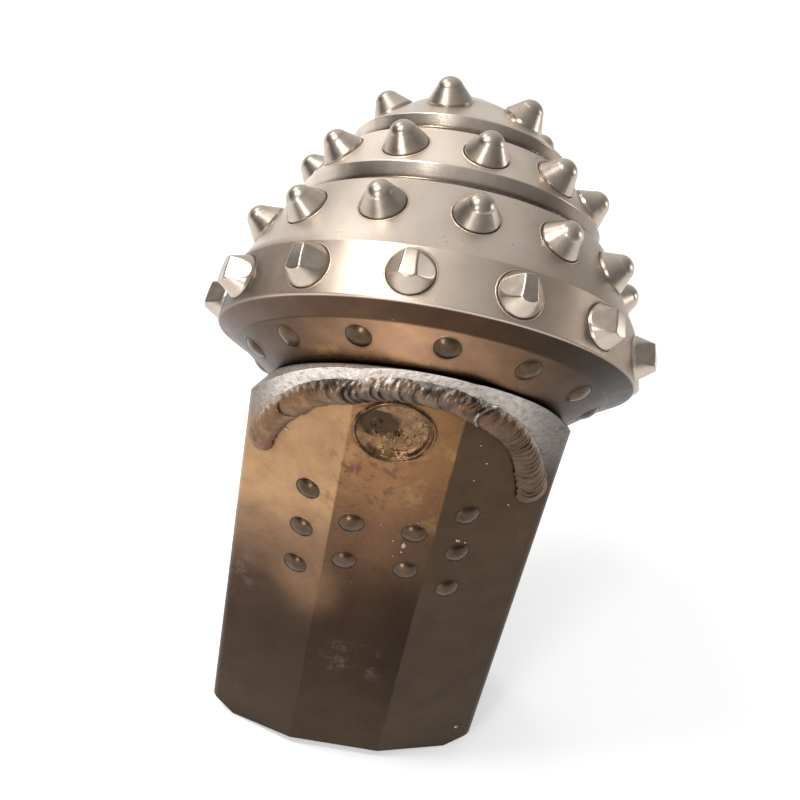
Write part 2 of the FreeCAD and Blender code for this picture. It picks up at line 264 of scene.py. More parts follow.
def seats(name, places, land, radius, section, material, body):
    """Rings round inserts: a closed section of (distance from the insert, height) on the land."""
    points = []
    faces = []
    size = len(section)
    for place in places:
        first = len(points)
        for n in range(seat_segments):
            angle = 2 * math.pi * n / seat_segments
            for gap, up in section:
                x = (radius + gap) * math.cos(angle)
                y = (radius + gap) * math.sin(angle)
                spot = place @ (Vector((x, y, land(x, y) + up)) * MM)
                points.append(spot / MM)
        for n in range(seat_segments):
            here = first + n * size
            there = first + (n + 1) % seat_segments * size
            for k in range(size):
                m = (k + 1) % size
                faces.append((here + k, here + m, there + m, there + k))
    return make_object(name, points, faces, material, body)


def smooth_line(places, steps):
    """A fine line through (across, height) places, as evenly stepped points."""
    per_span = 20
    ends = [places[0], *places, places[-1]]
    fine = []
    for a, b, c, d in zip(ends, ends[1:], ends[2:], ends[3:]):
        for n in range(per_span):
            t = n / per_span
            fine.append(Vector([
                0.5 * (2 * q + (r - p) * t + (2 * p - 5 * q + 4 * r - s) * t * t
                       + (3 * q - p - 3 * r + s) * t ** 3)
                for p, q, r, s in zip(a, b, c, d)
            ]))
    fine.append(Vector(places[-1]))
    lengths = [0.0]
    for a, b in zip(fine, fine[1:]):
        lengths.append(lengths[-1] + (b - a).length)
    line = []
    n = 0
    for step in range(steps + 1):
        goal = lengths[-1] * step / steps
        while n < len(fine) - 2 and lengths[n + 1] < goal:
            n += 1
        share = (goal - lengths[n]) / max(lengths[n + 1] - lengths[n], 1e-9)
        line.append(fine[n].lerp(fine[n + 1], share))
    return line, lengths[-1]


# Materials

class Shader:
    """A material's node tree with short ways to add the nodes used here."""

    def __init__(self, name, metallic, roughness):
        self.material = bpy.data.materials.new(name)
        self.material.use_nodes = True
        self.nodes = self.material.node_tree.nodes
        self.links = self.material.node_tree.links
        self.surface = self.nodes["Principled BSDF"]
        self.surface.inputs["Metallic"].default_value = metallic
        self.surface.inputs["Roughness"].default_value = roughness
        self.coordinates = self.nodes.new("ShaderNodeTexCoord").outputs["Object"]

    def link(self, source, node, socket):
        self.links.new(source, node.inputs[socket])

    def moved(self, place, scale=None):
        """Object coordinates in another frame, stretched by a scale if one is given."""
        to_local = place.inverted()
        node = self.nodes.new("ShaderNodeMapping")
        node.inputs["Location"].default_value = to_local.to_translation()
        node.inputs["Rotation"].default_value = to_local.to_euler()
        self.link(self.coordinates, node, "Vector")
        if scale is None:
            return node.outputs[0]
        stretched = self.nodes.new("ShaderNodeMapping")
        stretched.inputs["Scale"].default_value = scale
        self.link(node.outputs[0], stretched, "Vector")
        return stretched.outputs[0]

    def noise(self, size, detail=4.0, rough=0.55, vector=None, distortion=0.0):
        """Noise whose features are about that many millimetres wide."""
        node = self.nodes.new("ShaderNodeTexNoise")
        node.inputs["Scale"].default_value = 1000.0 / size
        node.inputs["Detail"].default_value = detail
        node.inputs["Roughness"].default_value = rough
        node.inputs["Distortion"].default_value = distortion
        self.link(vector or self.coordinates, node, "Vector")
        return node.outputs["Fac"]

    def wander(self, reach, size, detail, rough=0.55):
        """A noise about 0, to move an edge by up to half that many millimetres either way."""
        return self.math("MULTIPLY", self.math("SUBTRACT", self.noise(size, detail, rough), 0.5), reach * MM)

    def hypotenuse(self, a, b):
        return self.math("SQRT", self.math("ADD", self.math("MULTIPLY", a, a), self.math("MULTIPLY", b, b)))

    def mark(self, name):
        """A value marked on the mesh's points."""
        node = self.nodes.new("ShaderNodeAttribute")
        node.attribute_name = name
        return node.outputs["Fac"]

    def math(self, kind, a, b=None, clamp=False):
        node = self.nodes.new("ShaderNodeMath")
        node.operation = kind
        node.use_clamp = clamp
        for n, value in enumerate((a, b)):
            if value is None:
                continue
            if isinstance(value, (int, float)):
                node.inputs[n].default_value = value
            else:
                self.links.new(value, node.inputs[n])
        return node.outputs[0]

    def ramp(self, factor, stops):
        """A colour ramp: stops are (place, colour), and a plain number is a grey."""
        node = self.nodes.new("ShaderNodeValToRGB")
        elements = node.color_ramp.elements
        while len(elements) < len(stops):
            elements.new(0.5)
        for element, (place, colour) in zip(elements, stops):
            element.position = place
            grey = isinstance(colour, (int, float))
            element.color = (colour, colour, colour, 1) if grey else (*colour, 1)
        self.link(factor, node, "Fac")
        return node.outputs["Color"]

    def mix(self, factor, a, b, kind="MIX"):
        node = self.nodes.new("ShaderNodeMix")
        node.data_type = "RGBA"
        node.blend_type = kind
        for socket, value in ((0, factor), (6, a), (7, b)):
            if isinstance(value, (int, float)):
                node.inputs[socket].default_value = value if socket == 0 else (value, value, value, 1)
            elif isinstance(value, tuple):
                node.inputs[socket].default_value = (*value, 1)
            else:
                self.links.new(value, node.inputs[socket])
        return node.outputs[2]

    def between(self, value, low, high):
        """0 below low, 1 above high, in metres or whatever the value is in."""
        node = self.nodes.new("ShaderNodeMapRange")
        node.interpolation_type = "SMOOTHSTEP"
        node.inputs["From Min"].default_value = low
        node.inputs["From Max"].default_value = high
        self.link(value, node, "Value")
        return node.outputs[0]

    def split(self, vector):
        node = self.nodes.new("ShaderNodeSeparateXYZ")
        self.link(vector, node, "Vector")
        return node.outputs

    def bump(self, height, depth, below=None):
        """Adds a bump that many millimetres deep."""
        node = self.nodes.new("ShaderNodeBump")
        node.inputs["Distance"].default_value = depth * MM
        self.link(height, node, "Height")
        if below is not None:
            self.link(below, node, "Normal")
        self.link(node.outputs[0], self.surface, "Normal")
        return node.outputs[0]


def band(shade, value, low, high, soft=0.25):
    """1 where a value lies between two distances in millimetres, 0 elsewhere."""
    above = shade.between(value, (low - soft) * MM, (low + soft) * MM)
    below = shade.between(value, (high - soft) * MM, (high + soft) * MM)
    return shade.math("SUBTRACT", above, below)


def corner_shade(shade, colour, reach, darkest):
    """Painted shade where surfaces meet: the colour goes darker within that many millimetres."""
    node = shade.nodes.new("ShaderNodeAmbientOcclusion")
    node.samples = 8
    node.inputs["Distance"].default_value = reach * MM
    painted_corner_shade = shade.ramp(node.outputs["AO"], [(0.45, darkest), (0.98, (1.0, 1.0, 1.0))])
    return shade.mix(1.0, colour, painted_corner_shade, "MULTIPLY")


def leg_material():
    """Steel under a warm brown film, golden above and dark towards the foot, a darkening that is painted shade as
    well as film; the left facet is painted lighter and the right one darker, as if lit from the left, with a
    painted pool of light on the left facet and bare grain at the edge painted darker at both ends.
    """
    shade = Shader("leg_steel", 1.0, 0.40)
    x, y, z = shade.split(shade.coordinates)
    drift = shade.wander(13.0, 34.0, 4.0, 0.6)
    height = shade.math("ADD", z, drift)
    # Painted shade as well as film: each facet goes from dark at the foot to golden higher up, the left facet
    # lighter and the right one darker, as if lit from the left.
    slanted = shade.math("SUBTRACT", height, shade.math("MULTIPLY", x, 0.22))
    left = shade.ramp(shade.between(slanted, 0.068, 0.168), [
        (0.0, (0.042, 0.022, 0.011)), (0.18, (0.066, 0.035, 0.020)), (0.36, (0.142, 0.080, 0.046)),
        (0.62, (0.25, 0.148, 0.084)), (0.82, (0.42, 0.255, 0.132)), (1.0, (0.36, 0.215, 0.112)),
    ])
    centre = shade.ramp(shade.between(height, 0.076, 0.168), [
        (0.0, (0.038, 0.019, 0.009)), (0.14, (0.057, 0.0285, 0.0135)), (0.38, (0.118, 0.064, 0.034)),
        (0.65, (0.150, 0.079, 0.042)), (1.0, (0.285, 0.146, 0.066)),
    ])
    # Painted shade: the centre facet darker towards the right.
    painted_shade_right = shade.ramp(shade.between(x, -0.006, 0.016), [(0.0, 1.0), (1.0, 0.62)])
    centre = shade.mix(1.0, centre, painted_shade_right, "MULTIPLY")
    right = shade.ramp(shade.between(height, 0.02, 0.165), [
        (0.0, (0.043, 0.0245, 0.0125)), (1.0, (0.064, 0.0375, 0.0195)),
    ])
    fold = shade.wander(0.6, 9.0, 3.0)
    across = shade.math("ADD", x, fold)
    past_left = shade.between(across, fold_left * MM - 0.0004, fold_left * MM + 0.0004)
    past_right = shade.between(across, fold_right * MM - 0.0004, fold_right * MM + 0.0004)
    film = shade.mix(past_right, shade.mix(past_left, left, centre), right)
    foot = shade.math("SUBTRACT", 1.0, shade.between(height, 0.012, 0.062))
    film = shade.mix(shade.math("MULTIPLY", foot, 0.75), film, (0.058, 0.0335, 0.0165))
    # Painted light: a warm pool of light on the left facet, none on the right one.
    painted_glow_x = shade.math("SUBTRACT", x, painted_glow_place[0] * MM)
    painted_glow_z = shade.math("MULTIPLY", shade.math("SUBTRACT", z, painted_glow_place[1] * MM), 0.8)
    painted_glow = shade.math("SUBTRACT", 1.0, shade.between(shade.hypotenuse(painted_glow_x, painted_glow_z), 0.001, 0.017))
    painted_glow = shade.math("MULTIPLY", shade.math("MULTIPLY", painted_glow, 0.5), shade.math("SUBTRACT", 1.0, past_right))
    film = shade.mix(painted_glow, film, (0.30, 0.175, 0.098))
    clouds = shade.ramp(shade.noise(10.0, 6.0, 0.62, distortion=0.3), [
        (0.30, (0.80, 0.76, 0.72)), (0.5, (0.98, 0.97, 0.96)), (0.7, (1.12, 1.13, 1.10)),
    ])
    film = shade.mix(1.0, film, clouds, "MULTIPLY")
    high = shade.between(height, 0.105, 0.150)
    gold = shade.between(shade.noise(15.0, 4.0, 0.6), 0.55, 0.66)
    gold = shade.math("MULTIPLY", shade.math("MULTIPLY", gold, high), shade.math("SUBTRACT", 0.4, past_right, True))
    film = shade.mix(gold, film, (0.36, 0.215, 0.090))
    from_fold = shade.math("ABSOLUTE", shade.math("ADD", x, 0.010))
    near_fold = shade.math("SUBTRACT", 1.0, shade.between(from_fold, 0.006, 0.018))
    purple_x = shade.math("SUBTRACT", x, purple_place[0] * MM)
    purple_z = shade.math("SUBTRACT", z, purple_place[1] * MM)
    below_plug = shade.math("SUBTRACT", 1.0, shade.between(shade.hypotenuse(purple_x, purple_z), 0.003, 0.010))
    spots = shade.noise(4.5, 5.0, 0.62, distortion=0.4)
    spots = shade.math("ADD", spots, shade.math("MULTIPLY", below_plug, 0.06))
    spots = shade.between(spots, 0.52, 0.66)
    spots = shade.math("MULTIPLY", shade.math("MULTIPLY", spots, high), shade.math("MULTIPLY", near_fold, 0.65))
    film = shade.mix(spots, film, (0.095, 0.046, 0.038))
    smoke = shade.between(shade.noise(8.0, 7.0, 0.75), 0.49, 0.62)
    middle = shade.math("MULTIPLY", band(shade, x, -14.0, 11.0, 6.0), band(shade, z, 50.0, 65.0, 6.0))
    side = shade.math("MULTIPLY", band(shade, x, -54.0, -42.0, 3.0), band(shade, z, 74.0, 116.0, 9.0))
    place = shade.math("MULTIPLY", shade.math("ADD", middle, side), 0.6)
    film = shade.mix(shade.math("MULTIPLY", smoke, place), film, (0.125, 0.095, 0.078))
    speckle = shade.ramp(shade.noise(0.7, 3.0, 0.7), [(0.3, 0.90), (0.7, 1.10)])
    film = shade.mix(1.0, film, speckle, "MULTIPLY")
    rim_x = shade.math("SUBTRACT", x, rim_centre[0] * MM)
    rim_z = shade.math("MAXIMUM", shade.math("SUBTRACT", z, rim_centre[1] * MM), 0.0)
    reach = shade.hypotenuse(rim_x, rim_z)
    fray = shade.wander(3.0, 3.0, 3.0)
    edge = shade.between(shade.math("ADD", reach, fray), rim_radius * MM, (rim_radius + 1.6) * MM)
    edge = shade.math("MULTIPLY", edge, shade.between(z, 0.150, 0.172))
    bare = shade.ramp(shade.noise(1.7, 4.0, 0.68), [
        (0.32, (0.42, 0.36, 0.31)), (0.46, (0.72, 0.645, 0.58)), (0.66, (0.88, 0.80, 0.735)),
    ])
    # Painted shade: the bare rim goes dark towards both ends.
    painted_shade_right_end = shade.ramp(shade.between(x, -0.012, 0.048), [(0.0, 1.0), (0.35, 0.66), (0.8, 0.62), (1.0, 0.2)])
    painted_shade_left_end = shade.ramp(shade.between(x, -0.053, -0.036), [(0.0, 0.22), (0.5, 0.50), (1.0, 1.0)])
    bare = shade.mix(1.0, shade.mix(1.0, bare, painted_shade_right_end, "MULTIPLY"), painted_shade_left_end, "MULTIPLY")
    # Painted shade where surfaces meet.
    colour = corner_shade(shade, shade.mix(edge, film, bare), 5.0, (0.42, 0.37, 0.34))
    shade.link(colour, shade.surface, "Base Color")
    rough = shade.ramp(shade.noise(5.0, 5.0), [(0.3, 0.34), (0.7, 0.46)])
    shade.link(shade.mix(edge, rough, 0.34), shade.surface, "Roughness")
    shade.link(shade.ramp(edge, [(0.0, 1.0), (1.0, 0.72)]), shade.surface, "Metallic")
    fine = shade.bump(shade.noise(1.6, 6.0, 0.6), 0.04)
    coarse = shade.math("MULTIPLY", shade.noise(1.5, 4.0, 0.65), edge)
    shade.bump(coarse, 0.75, fine)
    return shade.material


def cone_material():
    """Turned and blasted steel: pale and warm ahead of the gauge, brown film on the bevel and the heel. Painted
    shade darkens the groove walls, the right side, the gauge land's left end, the bevel and where surfaces meet;
    painted light brightens the inner land and the middle of the heel.
    """
    shade = Shader("cone_steel", 0.9, 0.40)
    along = shade.split(shade.moved(journal))[2]
    x = shade.split(shade.coordinates)[0]
    pale = shade.ramp(shade.noise(26.0, 4.0, 0.5), [
        (0.3, (0.56, 0.475, 0.395)), (0.55, (0.65, 0.555, 0.465)), (0.75, (0.71, 0.61, 0.515)),
    ])
    blast = shade.ramp(shade.noise(0.45, 3.0, 0.7), [(0.3, 0.91), (0.7, 1.07)])
    pale = shade.mix(1.0, pale, blast, "MULTIPLY")
    smudge = shade.between(shade.noise(9.0, 6.0, 0.68), 0.60, 0.72)
    pale = shade.mix(shade.math("MULTIPLY", smudge, 0.22), pale, (0.36, 0.29, 0.235))
    grooves = shade.math("ADD", band(shade, along, middle_land[2], inner_land[0]),
                         band(shade, along, inner_land[2], nose_start))
    # Painted shadow in each groove, just past the land before it.
    deep = shade.math("ADD", band(shade, along, middle_land[2] - 1.0, middle_land[2] + 3.0, 0.8),
                      band(shade, along, inner_land[2] - 1.0, inner_land[2] + 2.6, 0.8))
    worn = shade.ramp(shade.noise(7.0, 5.0, 0.65), [
        (0.3, (0.50, 0.415, 0.34)), (0.5, (0.64, 0.55, 0.465)), (0.7, (0.76, 0.67, 0.575)),
    ])
    # Painted shade: towards the right the grooves' worn tone goes darker, and their shadow darker still.
    far = shade.between(x, -0.015, 0.040)
    worn = shade.mix(shade.math("MULTIPLY", far, 0.5), worn, (0.30, 0.25, 0.205))
    dark = shade.mix(far, (0.22, 0.17, 0.13), (0.07, 0.055, 0.043))
    worn = shade.mix(deep, worn, dark)
    pale = shade.mix(shade.math("MULTIPLY", grooves, 0.92), pale, worn)
    drift = shade.wander(16.0, 24.0, 4.0)
    # Painted shade with some brown film: the gauge land goes dark towards its left end.
    film = shade.ramp(shade.between(shade.math("ADD", x, drift), -0.066, -0.026), [
        (0.0, (0.13, 0.112, 0.10)), (0.22, (0.30, 0.262, 0.23)), (0.48, (0.69, 0.61, 0.55)),
        (0.8, (0.90, 0.84, 0.79)), (1.0, (1.0, 0.97, 0.94)),
    ])
    on_gauge = band(shade, along, -1.0, gauge_land[2] + 1.5, 2.0)
    pale = shade.mix(on_gauge, pale, shade.mix(1.0, pale, film, "MULTIPLY"))
    # Painted shade: the cone darker towards the right.
    painted_shade_right = shade.ramp(shade.between(shade.math("ADD", x, drift), 0.010, 0.060), [
        (0.0, (1.0, 1.0, 1.0)), (0.5, (0.76, 0.73, 0.70)), (1.0, (0.50, 0.47, 0.44)),
    ])
    pale = shade.mix(1.0, pale, painted_shade_right, "MULTIPLY")
    # Painted light: the inner land made lighter, except towards the right.
    painted_light_inner = shade.math("MULTIPLY", band(shade, along, inner_land[0], inner_land[2], 0.8),
                        shade.math("SUBTRACT", 1.0, far))
    pale = shade.mix(painted_light_inner, pale, shade.mix(1.0, pale, (1.38, 1.38, 1.38), "MULTIPLY"))
    # The heel's brown film with painted light and shade across it: lightest left of the middle, dark at both ends.
    light = shade.ramp(shade.between(x, -0.055, 0.060), [
        (0.0, (0.070, 0.040, 0.024)), (0.38, (0.40, 0.232, 0.138)), (0.62, (0.235, 0.136, 0.080)),
        (1.0, (0.036, 0.022, 0.013)),
    ])
    mottle = shade.ramp(shade.noise(9.0, 6.0, 0.62), [
        (0.28, (0.80, 0.78, 0.76)), (0.5, (1.0, 1.0, 1.0)), (0.75, (1.28, 1.26, 1.18)),
    ])
    brown = shade.mix(1.0, light, mottle, "MULTIPLY")
    gold = shade.math("MULTIPLY", shade.between(shade.noise(11.0, 5.0, 0.65), 0.42, 0.60),
                      band(shade, along, -13.8, -10.6, 0.9))
    gold = shade.math("MULTIPLY", gold, band(shade, x, -34.0, -2.0, 7.0))
    brown = shade.mix(shade.math("MULTIPLY", gold, 0.7), brown, (0.40, 0.245, 0.100))
    bevel = shade.between(along, -0.0044, -0.0042)
    # Painted shade: the bevel, which faces down, dark, and darker still to the right.
    bevel_painted_shade = shade.ramp(shade.between(x, -0.055, 0.060), [
        (0.0, (0.098, 0.056, 0.036)), (0.40, (0.072, 0.040, 0.023)), (0.65, (0.052, 0.028, 0.016)),
        (1.0, (0.021, 0.012, 0.006)),
    ])
    brown = shade.mix(bevel, brown, shade.mix(1.0, bevel_painted_shade, mottle, "MULTIPLY"))
    # Painted shade in the crease between the heel land and the bevel.
    line = band(shade, along, -4.6, -4.2, 0.1)
    brown = shade.mix(shade.math("MULTIPLY", line, 0.55), brown, (0.030, 0.018, 0.012))
    ahead = shade.between(along, -0.0005, -0.0001)
    colour = shade.mix(ahead, brown, pale)
    ragged = shade.wander(4.5, 2.4, 4.0, 0.7)
    skirt = shade.math("SUBTRACT", 1.0, shade.between(shade.math("ADD", along, ragged), -0.0131, -0.0124))
    colour = shade.mix(shade.math("MULTIPLY", skirt, 0.45), colour, (0.075, 0.043, 0.027))
    specks = shade.between(shade.noise(2.0, 2.0, 0.5), 0.715, 0.76)
    colour = shade.mix(shade.math("MULTIPLY", specks, 0.5), colour, (0.20, 0.15, 0.11))
    # Painted shade where surfaces meet.
    colour = corner_shade(shade, colour, 7.0, (0.46, 0.41, 0.37))
    shade.link(colour, shade.surface, "Base Color")
    shade.link(shade.ramp(ahead, [(0.0, 1.0), (1.0, 0.9)]), shade.surface, "Metallic")
    rough = shade.ramp(shade.noise(6.0, 4.0, 0.55), [(0.3, 0.36), (0.7, 0.43)])
    shade.link(shade.mix(grooves, rough, 0.26), shade.surface, "Roughness")
    turning = shade.noise(0.5, 2.0, 0.5, shade.moved(journal, (0.02, 0.02, 1.0)))
    fine = shade.bump(turning, 0.010)
    shade.bump(shade.noise(0.5, 4.0, 0.7), 0.014, fine)
    return shade.material


def carbide_material():
    """Ground tungsten carbide, smoother than the steel round it."""
    shade = Shader("carbide", 1.0, 0.24)
    tone = shade.ramp(shade.noise(6.0, 4.0, 0.55), [
        (0.3, (0.42, 0.352, 0.288)), (0.7, (0.56, 0.475, 0.395)),
    ])
    shade.link(tone, shade.surface, "Base Color")
    rough = shade.ramp(shade.noise(3.0, 4.0), [(0.3, 0.27), (0.7, 0.34)])
    shade.link(rough, shade.surface, "Roughness")
    shade.bump(shade.noise(1.2, 3.0, 0.5), 0.004)
    return shade.material


def button_material():
    """Small carbide buttons with the brown film still on them: glossy and dark."""
    shade = Shader("button_carbide", 1.0, 0.22)
    tone = shade.ramp(shade.noise(4.0, 3.0, 0.5), [
        (0.3, (0.062, 0.039, 0.024)), (0.55, (0.092, 0.059, 0.037)), (0.8, (0.125, 0.082, 0.052)),
    ])
    shade.link(tone, shade.surface, "Base Color")
    rough = shade.ramp(shade.noise(1.5, 4.0), [(0.3, 0.24), (0.7, 0.31)])
    shade.link(rough, shade.surface, "Roughness")
    return shade.material


def bead_material():
    """Weld metal: brown, bare along its upper side, with painted shade in its notches, ripple valleys, behind its
    lap's lip and along its lower edge, soot in its middle stretch, and a painted highlight on its lap's lip.
    """
    shade = Shader("hardfacing", 1.0, 0.34)
    x = shade.split(shade.coordinates)[0]
    tone = shade.ramp(shade.noise(5.0, 6.0, 0.7), [
        (0.25, (0.085, 0.047, 0.027)), (0.5, (0.180, 0.102, 0.057)), (0.75, (0.30, 0.178, 0.100)),
    ])
    tone = shade.mix(shade.math("MULTIPLY", shade.between(x, 0.010, 0.034), 0.62), tone, (0.058, 0.038, 0.025))
    smoky = shade.math("MULTIPLY", band(shade, x, -25.0, 10.0, 4.0), 0.6)
    tone = shade.mix(smoky, tone, (0.180, 0.138, 0.110))
    bare = shade.ramp(shade.noise(0.9, 4.0, 0.7), [
        (0.3, (0.24, 0.195, 0.16)), (0.5, (0.47, 0.405, 0.35)), (0.7, (0.74, 0.66, 0.59)),
    ])
    # Bare metal along the upper side, and a painted highlight on the lap's lip.
    colour = shade.mix(shade.mark("bare"), tone, bare)
    # Painted shade in the ripples' valleys, the notches, behind the lap's lip and under the lower edge, with soot
    # in the middle stretch.
    colour = shade.mix(shade.math("MULTIPLY", shade.mark("deep"), 0.9), colour, (0.026, 0.022, 0.021))
    shade.link(colour, shade.surface, "Base Color")
    rough = shade.ramp(shade.noise(1.5, 4.0), [(0.3, 0.24), (0.7, 0.42)])
    shade.link(rough, shade.surface, "Roughness")
    shade.bump(shade.noise(0.8, 5.0, 0.7), 0.06)
    return shade.material


def plug_material():
    """The plug's weld: golden brown, its crater to the upper left painted dark as shadow."""
    shade = Shader("plug_weld", 1.0, 0.34)
    tone = shade.ramp(shade.noise(3.0, 6.0, 0.7), [
        (0.28, (0.115, 0.066, 0.038)), (0.5, (0.195, 0.112, 0.059)), (0.72, (0.37, 0.225, 0.105)),
    ])
    # Painted shadow: the crater dark under its rim.
    colour = shade.mix(shade.math("MULTIPLY", shade.mark("darkened"), 0.87), tone, (0.036, 0.022, 0.013))
    shade.link(colour, shade.surface, "Base Color")
    rough = shade.ramp(shade.noise(1.5, 4.0), [(0.3, 0.22), (0.7, 0.38)])
    shade.link(rough, shade.surface, "Roughness")
    shade.bump(shade.noise(0.8, 5.0, 0.6), 0.035)
    return shade.material


def plain_metal(name, colour, metallic, roughness):
    """A plain inner piece's material, with a little unevenness."""
    shade = Shader(name, metallic, roughness)
    dark = tuple(channel * 0.8 for channel in colour)
    shade.link(shade.ramp(shade.noise(3.0), [(0.3, dark), (0.7, colour)]), shade.surface, "Base Color")
    return shade.material


leg_steel = leg_material()
cone_steel = cone_material()
carbide = carbide_material()
button_carbide = button_material()
bead_metal = bead_material()
plug_metal = plug_material()
spatter_metal = plain_metal("spatter", (0.36, 0.32, 0.29), 1.0, 0.20)
seat_shadow = plain_metal("seat_shadow", (0.03, 0.022, 0.016), 0.2, 0.7)
bearing_steel = plain_metal("bearing_steel", (0.6, 0.6, 0.61), 1.0, 0.2)
bearing_bronze = plain_metal("bearing_bronze", (0.62, 0.42, 0.2), 1.0, 0.3)
seal_rubber = plain_metal("seal_rubber", (0.03, 0.03, 0.03), 0.0, 0.6)


# Pieces

def chisel_height_at(x, y):
    """A gauge insert's top: two flat flanks and two tapered ends round a blunt, slightly crowned crest."""
    radius = math.hypot(x, y)
    rise = (chisel_height - insert_collar) / (insert_radius - chisel_crest_half_length)
    end = insert_collar + (insert_radius - radius) * rise
    width = chisel_crest_half_width + 0.09 * x
    flank = chisel_height - (abs(y) - width) / chisel_flank
    crest = chisel_height - 0.012 * x * x
    return max(smooth_min(smooth_min(crest, flank, 0.45), end, 0.4), 0.0)


def gauge_inserts():
    """The gauge row's chisels, with worn edges."""
    points, faces = relief(insert_radius, -insert_grip, chisel_height_at, 40, 120)
    for n, place in enumerate(row_places(gauge_row), start=1):
        piece = make_object(f"gauge_chisel_{n:02d}", points, faces, carbide, "cone_body", place)
        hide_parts(f"gauge_insert_{n:02d}")


def insert_seats():
    """A thin dark gap round each insert and button, and a low lip of steel pushed up round it."""
    gap = [(-0.05, -0.4), (-0.05, 0.04), (0.20, 0.04), (0.20, -0.4)]
    lip = [(0.18, -0.3), (0.22, 0.04), (0.32, 0.09), (0.46, 0.10), (0.60, 0.06), (0.80, -0.02), (0.80, -0.3)]
    rows = [
        ("gauge", gauge_row, insert_radius),
        ("middle", middle_row, insert_radius),
        ("inner", inner_row, insert_radius),
        ("heel", heel_row, button_radius),
    ]
    for name, row, radius in rows:
        places = row_places(row)
        land = land_under(row)
        seats(f"{name}_gaps", places, land, radius, gap, seat_shadow, "cone_body")
        piece = seats(f"{name}_lips", places, land, radius, lip, cone_steel, "cone_body")
    places = [on_face(*spot) for spot in button_spots()]
    seats("leg_button_gaps", places, flat_land, button_radius, gap, seat_shadow, "leg_body")
    piece = seats("leg_button_lips", places, flat_land, button_radius, lip, leg_steel, "leg_body")


def button_spots():
    """Places of the leg's buttons on the unfolded face."""
    spots = []
    for side in (-1, 1):
        outer = face_centre + side * outer_column
        inner = face_centre + side * inner_column
        spots += [(outer, first_button_height - n * button_pitch) for n in range(3)]
        spots += [(inner, first_button_height - (n + 0.5) * button_pitch) for n in range(2)]
    return spots


